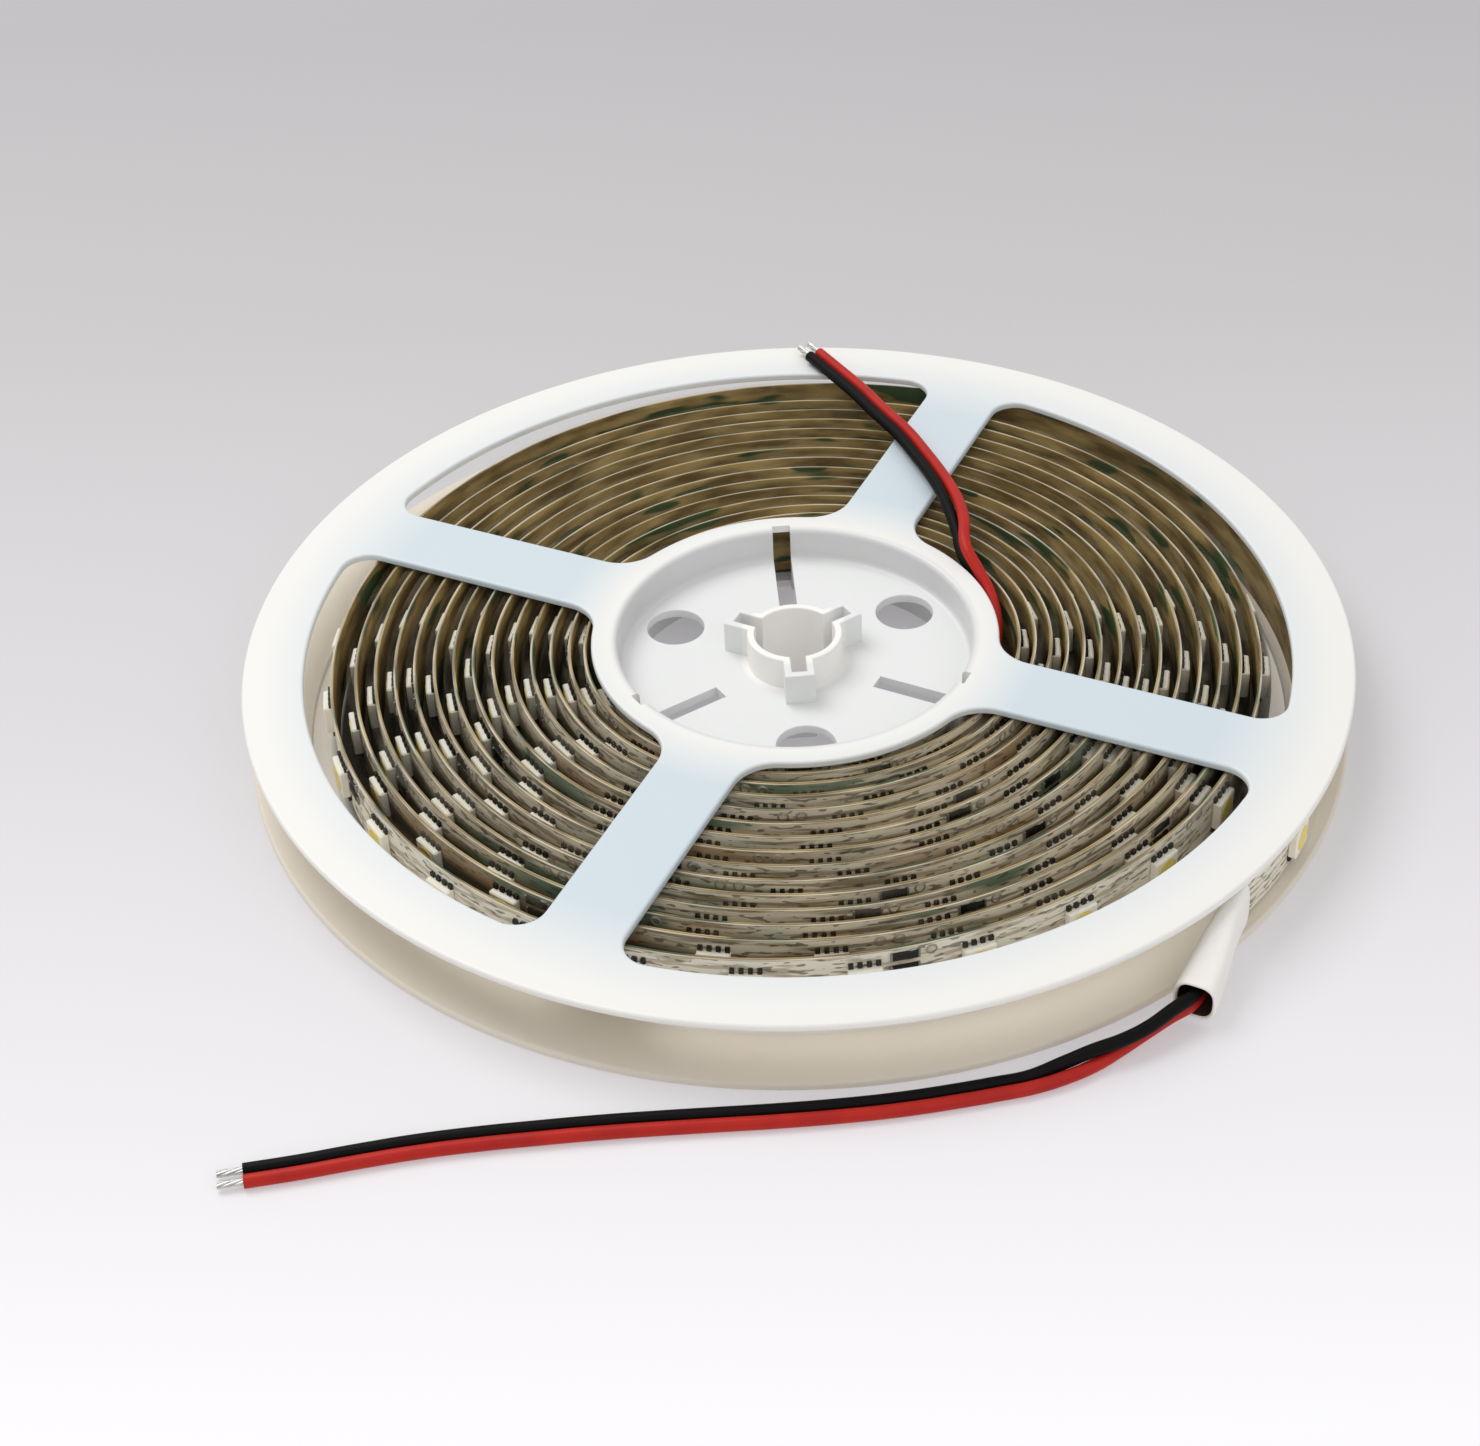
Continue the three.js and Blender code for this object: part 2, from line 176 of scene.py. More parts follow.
leadLook = {
    "wireRadius": 1.0,
    "spacing": 2.06,
    "curveSteps": 10,
    "roundSteps": 6,
    "strandCount": 7,
    "strandSteps": 8,
    "strandSides": 8,
    "strandRadius": 0.19,
    "strandCircle": 0.36,
    "tipLength": 4.2,
    "tipOverlap": 0.6,  # how much of it lies inside the wire
    "tipTwist": 140,
}
outerLeadRoute = [
    (56.4, -73.8, 3.75, 90), (54.6, -76.7, 3.7, 95), (51.3, -79.1, 3.4, 105),
    (47.4, -81.8, 2.8, 110), (43.7, -84, 2.35, 95), (40, -85.9, 2.1, 60),
    (35.9, -87.6, 1.6, 25), (30.9, -89.3, 1.05, 0), (25.9, -90.4, 1, 0),
    (20.9, -91.4, 1, 0), (12.5, -92.8, 1, 0), (4.3, -93.7, 1, 0), (-4, -94.3, 1, 0),
    (-12.2, -94.7, 1, 0), (-20.5, -95.1, 1, 0), (-28.7, -95.6, 1, 0),
    (-36.9, -96.3, 1, 0), (-45, -97.1, 1, 0), (-53.2, -98.2, 1, 0),
    (-61.2, -99.7, 1, 0), (-69.2, -101.4, 1, 0), (-76.5, -102.7, 1, 0),
]
innerLeadRoute = [
    (30.3, -9.3, 6.4, 90), (31.3, -5, 6.4, 90), (32.2, -0.6, 6.5, 90),
    (32.9, 3.5, 6.9, 90), (33.2, 7.7, 8, 90), (32.4, 11.8, 9.9, 90),
    (30.7, 15.6, 11.9, 90), (28.8, 19.4, 13.8, 80), (28.4, 26, 14.8, 50),
    (27.7, 31.2, 15.15, 20), (26.7, 35.9, 15.2, 5), (25.3, 41.2, 14.95, 0),
    (23, 48, 14.75, 0), (20.1, 55.6, 14.6, 0), (16.4, 62.9, 14.45, 0),
    (12.4, 71.1, 14.3, 0), (8.5, 78.1, 14.15, 0), (5.2, 83.7, 14.15, 0),
]


def wirePoints(route, side):
    centres = [Vector(point[:3]) for point in route]
    points = []
    for i, centre in enumerate(centres):
        before, after = centres[max(0, i - 1)], centres[min(len(centres) - 1, i + 1)]
        along = Vector((after.x - before.x, after.y - before.y, 0)).normalized()
        right = Vector((along.y, -along.x, 0))
        twist = math.radians(route[i][3])
        shift = side * leadLook["spacing"] / 2
        lift = Vector((0, 0, shift * math.sin(twist)))
        points.append(centre + right * (shift * math.cos(twist)) + lift)
    return points


def addWire(name, points):
    curve = bpy.data.curves.new(name, "CURVE")
    curve.dimensions = "3D"
    curve.bevel_depth = leadLook["wireRadius"] * mm
    curve.bevel_resolution = leadLook["roundSteps"]
    curve.resolution_u = leadLook["curveSteps"]
    curve.use_fill_caps = True
    spline = curve.splines.new("BEZIER")
    spline.bezier_points.add(len(points) - 1)
    for bezierPoint, point in zip(spline.bezier_points, points):
        bezierPoint.co = point * mm
        bezierPoint.handle_left_type = "AUTO"
        bezierPoint.handle_right_type = "AUTO"
    wire = bpy.data.objects.new(name, curve)
    bpy.context.collection.objects.link(wire)
    return wire


def strandedTip(name, end, along):  # a twist of tinned strands that starts inside the wire
    look = leadLook
    across = along.cross(Vector((0, 0, 1))).normalized()
    over = across.cross(along)
    pitch = 360 / (look["strandCount"] - 1)  # the first strand is the core of the others
    strands = []
    for strand in range(look["strandCount"]):
        rings = []
        for step in range(look["strandSteps"] + 1):
            share = step / look["strandSteps"]
            angle = math.radians(strand * pitch + look["tipTwist"] * share)
            reach = look["strandCircle"] if strand else 0
            centre = end + along * (look["tipLength"] * share - look["tipOverlap"])
            centre += (across * math.cos(angle) + over * math.sin(angle)) * reach
            ring = []
            for x, y in arcPoints(0, 0, look["strandRadius"], 0, 360, look["strandSides"])[:-1]:
                ring.append(centre + across * x + over * y)
            rings.append(ring)
        strands.append(loftedPiece(name, rings))
    tip = joinPieces(name, strands)
    smoothByAngle(tip)
    return tip


def addLead(place, route, colour, side):
    name = f"{place}_lead_{colour}"
    points = wirePoints(route, side)
    wire = addWire(name + "_wire", points)
    along = (points[-1] - points[-2]).normalized()
    tip = strandedTip(name + "_strands", points[-1], along)
    wire.data.materials.append(finishes[colour + "_insulation"])
    tip.data.materials.append(finishes["tinned_strands"])
    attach(wire, "root")
    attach(tip, "root")
    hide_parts(name)
    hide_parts(f"{place}_lead_tip_{colour}")


# Finishes

def newFinish(name, colour, roughness, metallic=0.0):
    finish = bpy.data.materials.new(name)
    finish.use_nodes = True
    shader = finish.node_tree.nodes["Principled BSDF"]
    shader.inputs["Base Color"].default_value = (*colour, 1)
    shader.inputs["Roughness"].default_value = roughness
    shader.inputs["Metallic"].default_value = metallic
    return finish, finish.node_tree, shader


def objectSpot(tree):
    return tree.nodes.new("ShaderNodeTexCoord").outputs["Object"]


def coordinate(tree, spot, axis):
    split = tree.nodes.new("ShaderNodeSeparateXYZ")
    tree.links.new(spot, split.inputs["Vector"])
    return split.outputs[axis]


def axisDistance(tree, spot):  # how far a spot lies from the reel's axis, in metres
    flat = tree.nodes.new("ShaderNodeVectorMath")
    flat.operation = "MULTIPLY"
    flat.inputs[1].default_value = (1, 1, 0)
    length = tree.nodes.new("ShaderNodeVectorMath")
    length.operation = "LENGTH"
    tree.links.new(spot, flat.inputs[0])
    tree.links.new(flat.outputs["Vector"], length.inputs[0])
    return length.outputs["Value"]


def objectNoise(tree, scale, detail):
    noise = tree.nodes.new("ShaderNodeTexNoise")
    noise.inputs["Scale"].default_value = scale
    noise.inputs["Detail"].default_value = detail
    tree.links.new(objectSpot(tree), noise.inputs["Vector"])
    return noise.outputs["Fac"]


def spreadOver(tree, value, start, end, low=0.0, high=1.0):  # low and high may be sockets
    spread = tree.nodes.new("ShaderNodeMapRange")
    spread.inputs["From Min"].default_value = start
    spread.inputs["From Max"].default_value = end
    tree.links.new(value, spread.inputs["Value"])
    for key, given in (("To Min", low), ("To Max", high)):
        if isinstance(given, (int, float)):
            spread.inputs[key].default_value = given
        else:
            tree.links.new(given, spread.inputs[key])
    return spread.outputs["Result"]


def blendColours(tree, share, first, second):  # colours or sockets
    blend = tree.nodes.new("ShaderNodeMix")
    blend.data_type = "RGBA"
    tree.links.new(share, blend.inputs[0])
    for index, given in ((6, first), (7, second)):
        if isinstance(given, tuple):
            blend.inputs[index].default_value = (*given, 1)
        else:
            tree.links.new(given, blend.inputs[index])
    return blend.outputs[2]


def colourStops(tree, value, stops, low=0.0, high=1.0):  # stops are (place, colour), from low to high
    ramp = tree.nodes.new("ShaderNodeValToRGB")
    while len(ramp.color_ramp.elements) < len(stops):
        ramp.color_ramp.elements.new(0.5)
    for element, (place, colour) in zip(ramp.color_ramp.elements, stops):
        element.position = (place - low) / (high - low)
        element.color = (*colour, 1)
    tree.links.new(spreadOver(tree, value, low, high), ramp.inputs["Fac"])
    return ramp.outputs["Color"]


finishHabits = {
    "patchDetail": 3.0,
    "patchStart": 0.35,
    "patchEnd": 0.65,
    "smoother": 0.06,  # how far the roughness strays below and above its own value
    "rougher": 0.08,
    "patches": 900,
    "grain": 1500,
    "grainDetail": 2.0,
    "grainDepth": 0.0002,  # metres
    "usualShine": 0.5,
}


def varyRoughness(tree, shader, factor, low, high):
    tree.links.new(spreadOver(tree, factor, 0, 1, low, high), shader.inputs["Roughness"])


def addGrain(tree, shader, scale, strength):
    bump = tree.nodes.new("ShaderNodeBump")
    bump.inputs["Strength"].default_value = strength
    bump.inputs["Distance"].default_value = finishHabits["grainDepth"]
    tree.links.new(objectNoise(tree, scale, finishHabits["grainDetail"]), bump.inputs["Height"])
    tree.links.new(bump.outputs["Normal"], shader.inputs["Normal"])


def noisyFinish(name, look):  # two close colours in soft patches, and a fine grain
    habits, roughness = finishHabits, look["roughness"]
    finish, tree, shader = newFinish(name, look["first"], roughness, look.get("metallic", 0.0))
    patches = objectNoise(tree, look.get("patches", habits["patches"]), habits["patchDetail"])
    stops = ((habits["patchStart"], look["first"]), (habits["patchEnd"], look["second"]))
    tree.links.new(colourStops(tree, patches, stops), shader.inputs["Base Color"])
    varyRoughness(tree, shader, patches, roughness - habits["smoother"], roughness + habits["rougher"])
    addGrain(tree, shader, look.get("grain", habits["grain"]), look["strength"])
    shader.inputs["Specular IOR Level"].default_value = look.get("shine", habits["usualShine"])
    return finish


reelLook = {
    "bore": (0.95, 0.93, 0.90),
    "dish": (0.81, 0.82, 0.81),
    "wall": (0.68, 0.685, 0.68),
    "ring": (0.88, 0.865, 0.83),
    "spokeSkyReflection": (0.63, 0.715, 0.765),
    # painted light and shade by distance from the axis: painted light in the bore, painted shade in the
    # dish and deeper on its wall, a painted sky reflection on the spokes
    "zones": ((0.008, "bore"), (0.009, "dish"), (0.028, "dish"), (0.0284, "wall"), (0.029, "wall"),
              (0.03, "ring"), (0.04, "spokeSkyReflection"), (0.07, "spokeSkyReflection"), (0.086, "ring")),  # metres from the axis
    "reach": 0.1,
    "lowColour": (0.80, 0.73, 0.62),  # the lower flange's inner face, in the shade of the upper one
    "lowFade": 0.0017,  # metres up
    "lowHeight": 0.0014,
    "lowStart": 0.078,
    "lowFull": 0.080,
    "roughness": 0.38,
    "smoothest": 0.3,
    "roughest": 0.46,
    "flow": 60,
    "grain": 900,
    "grainStrength": 0.05,
}


def reelPlastic():  # white moulded plastic with painted light and shade by distance from the axis: painted light in the bore, painted shade in the dish and deeper on its wall, a painted sky reflection on the spokes, and painted shade on the lower flange's inner face
    look = reelLook
    finish, tree, shader = newFinish("moulded_white", look["ring"], look["roughness"])
    spot = objectSpot(tree)
    distance = axisDistance(tree, spot)
    stops = [(place, look[colour]) for place, colour in look["zones"]]
    colour = colourStops(tree, distance, stops, 0, look["reach"])
    low = spreadOver(tree, coordinate(tree, spot, "Z"), look["lowFade"], look["lowHeight"])
    outside = spreadOver(tree, distance, look["lowStart"], look["lowFull"])
    low = spreadOver(tree, outside, 0, 1, 0, low)
    colour = blendColours(tree, low, colour, look["lowColour"])
    tree.links.new(colour, shader.inputs["Base Color"])
    flow = objectNoise(tree, look["flow"], finishHabits["grainDetail"])
    varyRoughness(tree, shader, flow, look["smoothest"], look["roughest"])
    addGrain(tree, shader, look["grain"], look["grainStrength"])
    return finish


# The strip's own finishes read its UV map: u runs along the strip and v up it, in centimetres

stripZones = {
    "paleStart": 462,  # the outermost turn begins here
    "paleFull": 464,
    "backStart": 488,  # here it passes behind the windows again
    "backFull": 494,
    "tailStart": 505,
    "tailFull": 508,
}
streakLooks = {  # streaks in a centimetre, along and up, and the levels of the noise where they show
    "circuit": {"along": 0.6, "up": 9, "detail": 2.0, "start": 0.40, "end": 0.52},
    "warm": {"along": 0.13, "up": 0.5, "detail": 2.0, "start": 0.52, "end": 0.60},
    "green": {"along": 0.22, "up": 1, "detail": 1.0, "start": 0.57, "end": 0.62},
    "outer": {"along": 1.5, "up": 11, "detail": 2.0, "start": 0.42, "end": 0.52},
    "track": {"along": 4, "up": 13, "detail": 1.0, "start": 0.585, "end": 0.625},
    "edge": {"along": 0.7, "up": 1, "detail": 2.0, "start": 0.38, "end": 0.60},
    "cloud": {"along": 0.9, "up": 5, "detail": 3.0, "start": 0.40, "end": 0.60},
    "liner": {"along": 0.8, "up": 3, "detail": 3.0, "start": 0.38, "end": 0.62},
    "linerGreen": {"along": 0.5, "up": 2, "detail": 2.0, "start": 0.57, "end": 0.61},
}


def stripSpot(tree):
    return tree.nodes.new("ShaderNodeTexCoord").outputs["UV"]


def streaks(tree, spot, kind):  # noise drawn out along the strip
    look = streakLooks[kind]
    stretch = tree.nodes.new("ShaderNodeMapping")
    stretch.inputs["Scale"].default_value = (look["along"], look["up"], 1)
    noise = tree.nodes.new("ShaderNodeTexNoise")
    noise.inputs["Scale"].default_value = 1.0
    noise.inputs["Detail"].default_value = look["detail"]
    tree.links.new(spot, stretch.inputs["Vector"])
    tree.links.new(stretch.outputs["Vector"], noise.inputs["Vector"])
    return noise.outputs["Fac"]


def streakColours(tree, spot, kind, first, second):
    stops = ((streakLooks[kind]["start"], first), (streakLooks[kind]["end"], second))
    return colourStops(tree, streaks(tree, spot, kind), stops)


def streakShare(tree, spot, kind, strength=1.0):
    look = streakLooks[kind]
    return spreadOver(tree, streaks(tree, spot, kind), look["start"], look["end"], 0, strength)


def paintedLightShare(tree, along):  # painted light mask: 1 on the outermost turn at the front and on the tail, which are lit from outside, else 0
    zones = stripZones
    share = spreadOver(tree, along, zones["backStart"], zones["backFull"], 1, 0)
    share = spreadOver(tree, along, zones["paleStart"], zones["paleFull"], 0, share)
    return spreadOver(tree, along, zones["tailStart"], zones["tailFull"], share, 1)


def coveredShare(tree, along):  # 0 on the outermost turn, whose outer face lies open
    return spreadOver(tree, along, stripZones["paleStart"], stripZones["paleFull"], 1, 0)


circuitLook = {
    "plain": (0.52, 0.47, 0.37),
    "roughness": 0.5,
    "dark": (0.34, 0.28, 0.18),
    "light": (0.94, 0.86, 0.68),
    "warm": (0.46, 0.31, 0.16),
    "green": (0.17, 0.25, 0.16),
    "gapShade": (0.09, 0.07, 0.04),  # painted shade: between these heights the wound turns grow dark, where they shade one another
    "deepStart": 0.86,
    "deepFull": 0.72,
    # painted light: the outermost turn's face is paler, lit from outside
    "outerDark": (0.52, 0.46, 0.34),
    "outerLight": (0.86, 0.82, 0.70),
    "track": (0.09, 0.075, 0.045),
    "trackStrength": 0.75,
    "edgeDark": (0.26, 0.22, 0.14),  # the bare upper edge
    "edgeLight": (0.62, 0.56, 0.44),
    "edgeStart": 1.095,
    "edgeFull": 1.105,
}


def stripCircuitFinish():  # pale flexible circuit with dark tracks under its mask, painted shade low between the wound turns and painted light on the outermost turn
    look = circuitLook
    finish, tree, shader = newFinish("flexible_circuit", look["plain"], look["roughness"])
    spot = stripSpot(tree)
    along, height = coordinate(tree, spot, "X"), coordinate(tree, spot, "Y")
    inner = streakColours(tree, spot, "circuit", look["dark"], look["light"])
    inner = blendColours(tree, streakShare(tree, spot, "warm"), inner, look["warm"])
    inner = blendColours(tree, streakShare(tree, spot, "green"), inner, look["green"])
    below = spreadOver(tree, height, look["deepStart"], look["deepFull"])
    below = spreadOver(tree, coveredShare(tree, along), 0, 1, 0, below)
    inner = blendColours(tree, below, inner, look["gapShade"])
    outer = streakColours(tree, spot, "outer", look["outerDark"], look["outerLight"])
    colour = blendColours(tree, paintedLightShare(tree, along), inner, outer)
    tracks = streakShare(tree, spot, "track", look["trackStrength"])
    colour = blendColours(tree, tracks, colour, look["track"])
    edge = spreadOver(tree, height, look["edgeStart"], look["edgeFull"])
    edgeColour = streakColours(tree, spot, "edge", look["edgeDark"], look["edgeLight"])
    colour = blendColours(tree, edge, colour, edgeColour)
    tree.links.new(colour, shader.inputs["Base Color"])
    return finish


coatLook = {
    "plain": (0.60, 0.55, 0.45),
    "roughness": 0.3,
    "smoothest": 0.22,
    "roughest": 0.42,
    "grain": 500,
    "clearHeight": 0.0086,  # metres: above this the coat is clear, well below it is dim with painted shade between the wound turns
    "dimHeight": 0.0062,
    "dark": (0.16, 0.125, 0.07),
    "light": (0.56, 0.49, 0.35),
    "coatGapShade": (0.03, 0.025, 0.018),
    # painted light: the outermost turn's coat is pale and nearly clear, lit from outside
    "pale": (0.72, 0.70, 0.62),
    "coverStart": 0.35,
    "coverEnd": 0.65,
    "thinCover": 0.02,  # how much of what lies under it the coat hides
    "thickCover": 0.09,
    "dimCover": 0.8,
    "paleCover": 0.03,
}


def siliconeFinish():  # clear coat, streaky and slightly cloudy, with painted shade between the wound turns and painted light on the outermost turn
    look = coatLook
    finish, tree, shader = newFinish("clear_silicone", look["plain"], look["roughness"])
    spot = stripSpot(tree)
    along = coordinate(tree, spot, "X")
    up = coordinate(tree, objectSpot(tree), "Z")
    clear = spreadOver(tree, up, look["dimHeight"], look["clearHeight"])
    clear = spreadOver(tree, coveredShare(tree, along), 0, 1, 1, clear)
    pale = paintedLightShare(tree, along)
    colour = streakColours(tree, spot, "cloud", look["dark"], look["light"])
    colour = blendColours(tree, clear, look["coatGapShade"], colour)
    colour = blendColours(tree, pale, colour, look["pale"])
    tree.links.new(colour, shader.inputs["Base Color"])
    cover = spreadOver(tree, streaks(tree, spot, "cloud"), look["coverStart"], look["coverEnd"],
                       look["thinCover"], look["thickCover"])
    cover = spreadOver(tree, clear, 0, 1, look["dimCover"], cover)
    cover = spreadOver(tree, pale, 0, 1, cover, look["paleCover"])
    tree.links.new(cover, shader.inputs["Alpha"])
    grain = objectNoise(tree, look["grain"], finishHabits["grainDetail"])
    varyRoughness(tree, shader, grain, look["smoothest"], look["roughest"])
    return finish


linerLook = {
    "plain": (0.2, 0.14, 0.07),
    "roughness": 0.6,
    "dark": (0.16, 0.105, 0.035),
    "light": (0.46, 0.33, 0.13),
    "green": (0.05, 0.085, 0.03),
    "grain": 900,
    "grainStrength": 0.15,
}


def linerFinish():  # brown backing with traces of green
    look = linerLook
    finish, tree, shader = newFinish("brown_liner", look["plain"], look["roughness"])
    spot = stripSpot(tree)
    brown = streakColours(tree, spot, "liner", look["dark"], look["light"])
    colour = blendColours(tree, streakShare(tree, spot, "linerGreen"), brown, look["green"])
    tree.links.new(colour, shader.inputs["Base Color"])
    addGrain(tree, shader, look["grain"], look["grainStrength"])
    return finish


finishLooks = {
    "red_insulation": {"first": (0.50, 0.018, 0.010), "second": (0.42, 0.014, 0.010), "roughness": 0.42,
        "patches": 200, "grain": 900, "strength": 0.08, "shine": 0.22},
    "black_insulation": {"first": (0.002, 0.002, 0.002), "second": (0.004, 0.003, 0.003), "roughness": 0.5,
        "patches": 200, "grain": 900, "strength": 0.08, "shine": 0.12},
    "tinned_strands": {"first": (0.62, 0.61, 0.58), "second": (0.72, 0.71, 0.69), "roughness": 0.32,
        "grain": 2500, "strength": 0.1, "metallic": 1.0},
    "white_shrink_sleeve": {"first": (0.90, 0.87, 0.81), "second": (0.94, 0.92, 0.88), "roughness": 0.46,
        "patches": 120, "grain": 500, "strength": 0.18},
    "sleeve_mouth_shade": {"first": (0.03, 0.016, 0.014), "second": (0.045, 0.022, 0.018), "roughness": 0.7,
        "patches": 300, "grain": 900, "strength": 0.1},
    "led_housing": {"first": (0.95, 0.90, 0.74), "second": (0.97, 0.95, 0.86), "roughness": 0.4,
        "patches": 700, "strength": 0.05},
    "led_phosphor": {"first": (0.86, 0.66, 0.08), "second": (0.90, 0.74, 0.16), "roughness": 0.35,
        "strength": 0.1},
    # painted shade: the tinned solder and lamp legs are dark grey and near black, standing for the shade
    # and dark reflections between the turns
    "shaded_solder": {"first": (0.20, 0.19, 0.17), "second": (0.32, 0.30, 0.27), "roughness": 0.35,
        "strength": 0.2, "metallic": 0.6},
    "shaded_lamp_legs": {"first": (0.008, 0.007, 0.005), "second": (0.03, 0.025, 0.018), "roughness": 0.5,
        "strength": 0.1, "shine": 0.05},
    "tinned_pad": {"first": (0.30, 0.27, 0.20), "second": (0.45, 0.42, 0.35), "roughness": 0.4,
        "strength": 0.2, "metallic": 0.3},
    "resistor_body": {"first": (0.004, 0.004, 0.004), "second": (0.008, 0.008, 0.008), "roughness": 0.5,
        "patches": 700, "strength": 0.1, "shine": 0.05},
}
finishes = {name: noisyFinish(name, look) for name, look in finishLooks.items()}
finishes["flexible_circuit"] = stripCircuitFinish()
finishes["clear_silicone"] = siliconeFinish()
finishes["brown_liner"] = linerFinish()
finishes["moulded_white"] = reelPlastic()

addLead("outer", outerLeadRoute, "red", -1)
addLead("outer", outerLeadRoute, "black", 1)
addLead("inner", innerLeadRoute, "red", 1)
addLead("inner", innerLeadRoute, "black", -1)
print("leads laid")


# The reel's two halves are one moulding, made once with its outer face down and turned over

reelSizes = {
    "flangeRadius": 89,
    "height": 12.8,
    "flange": 1.3,
    "drumRadius": 30,
    "drumWall": 1.3,
    "web": 0.8,
    "hubRingRadius": 33,
    "windowRadius": 79.2,
    "spokeCount": 4,
    "spokeWidth": 13,
    "spokeOffset": -1.8,  # degrees off the pattern of the holes
    "windowCorner": 4.5,
    "spokeFlare": 7,
    "holeRadius": 4.75,
    "holeCircle": 22,
    "slotWidth": 3,
    "slotInner": 14.5,
    "slotPast": 0.2,  # how far the slots reach past the drum
    "boreRadius": 6.55,
    "blankInset": 2,  # how far the spun blank reaches into the bore before it is cut
    "bossWall": 1.2,
    "keyWidth": 2.45,
    "keyReach": 10.4,
    "keyCount": 3,
    "patternAngle": 153.5,
    "rimRound": 0.5,
    "mouthRound": 0.9,
    "floorRound": 1.0,
    "rootRound": 0.25,
    "windowRound": 0.5,
    "windowInnerRound": 0.3,
    "holeRound": 0.2,
    "boreRound": 0.25,
    "bossRound": 0.3,
    "smoothBelow": 40,  # degrees
    "spinMerge": 0.001,
    "cutMerge": 0.002,
}
reelSteps = {"turn": 180, "round": 5, "root": 3, "flare": 10, "corner": 12, "window": 40, "ring": 24,
             "bore": 16, "hole": 48}
halfHeight = reelSizes["height"] / 2
overrun = 1.0  # how far a cutter reaches past the face that it cuts


def windowOutline(grow):
    sizes, steps = reelSizes, reelSteps
    pitch = 360 / sizes["spokeCount"]
    side = sizes["spokeWidth"] / 2
    cornerY = side + sizes["windowCorner"]
    cornerX = math.sqrt((sizes["windowRadius"] - sizes["windowCorner"]) ** 2 - cornerY ** 2)
    flareY = side + sizes["spokeFlare"]
    flareX = math.sqrt((sizes["hubRingRadius"] + sizes["spokeFlare"]) ** 2 - flareY ** 2)
    cornerAngle = math.degrees(math.atan2(cornerY, cornerX))
    flareAngle = math.degrees(math.atan2(flareY, flareX))
    flare, corner = sizes["spokeFlare"] + grow, sizes["windowCorner"] + grow
    lower = arcPoints(flareX, flareY, flare, 180 + flareAngle, 270, steps["flare"])
    lower += arcPoints(cornerX, cornerY, corner, 270, 360 + cornerAngle, steps["corner"])
    outer = arcPoints(0, 0, sizes["windowRadius"] + grow, cornerAngle, pitch - cornerAngle, steps["window"])
    upper = [(y, x) for x, y in lower][::-1]  # the window mirrors about its 45 degree line
    inner = arcPoints(0, 0, sizes["hubRingRadius"] - grow, pitch - flareAngle, flareAngle, steps["ring"])
    return lower + outer[1:-1] + upper + inner[1:-1]


def keyedOutline(grow):
    sizes = reelSizes
    pitch = 360 / sizes["keyCount"]
    side = sizes["keyWidth"] / 2 + grow
    radius = sizes["boreRadius"] + grow
    reach = sizes["keyReach"] + grow
    meet = math.degrees(math.asin(side / radius))
    third = [(reach, -side), (reach, side)]
    third += arcPoints(0, 0, radius, meet, pitch - meet, reelSteps["bore"])
    points = []
    for i in range(sizes["keyCount"]):
        points += turnPoints(third, i * pitch)
    return points


def holeOutline(grow):
    radius = reelSizes["holeRadius"] + grow
    return arcPoints(reelSizes["holeCircle"], 0, radius, 0, 360, reelSteps["hole"])[:-1]


def roundedLevels(bottom, top, bottomRound, topRound):  # (height, growth) down a cut's wall
    steps = reelSteps["round"]
    levels = [(bottom - overrun, bottomRound)]
    for i in range(steps + 1):
        angle = math.radians(90 * i / steps)
        levels.append((bottom + bottomRound * (1 - math.cos(angle)), bottomRound * (1 - math.sin(angle))))
    for i in range(steps + 1 if topRound else 0):
        angle = math.radians(90 - 90 * i / steps)
        levels.append((top - topRound * (1 - math.cos(angle)), topRound * (1 - math.sin(angle))))
    levels.append((top + overrun, topRound))
    return levels


def cutterFrom(outlineAt, levels, degrees=0):
    rings = []
    for height, grow in levels:
        rings.append([(x, y, height) for x, y in turnPoints(outlineAt(grow), degrees)])
    return loftedPiece("cutter", rings)


def spunHalf():
    sizes, steps = reelSizes, reelSteps
    dish = sizes["drumRadius"] - sizes["drumWall"]
    face, inside = -halfHeight, -halfHeight + sizes["flange"]
    core = sizes["boreRadius"] - sizes["blankInset"]
    floor, mouth = sizes["floorRound"], sizes["mouthRound"]
    rim, root = sizes["rimRound"], sizes["rootRound"]
    rimX, rootX = sizes["flangeRadius"] - rim, sizes["drumRadius"] + root
    profile = [(core, -sizes["web"])]
    profile += arcPoints(dish - floor, -sizes["web"] - floor, floor, 90, 0, steps["round"])
    profile += arcPoints(dish + mouth, face + mouth, mouth, 180, 270, steps["round"])
    profile += arcPoints(rimX, face + rim, rim, 270, 360, steps["round"])
    profile += arcPoints(rimX, inside - rim, rim, 0, 90, steps["round"])
    profile += arcPoints(rootX, inside + root, root, 270, 180, steps["root"])
    profile += [(sizes["drumRadius"], 0), (core, 0)]
    points = [(radius, 0, height) for radius, height in profile]
    edges = [(i, (i + 1) % len(points)) for i in range(len(points))]
    half = meshPiece("reel_half", points, [], edges)
    choose(half)
    bpy.ops.object.mode_set(mode="EDIT")
    bpy.ops.mesh.select_all(action="SELECT")
    bpy.ops.mesh.spin(steps=steps["turn"], angle=2 * math.pi, center=(0, 0, 0), axis=(0, 0, 1))
    bpy.ops.object.mode_set(mode="OBJECT")
    mergeAndFaceOut(half, sizes["spinMerge"] * mm)
    return half


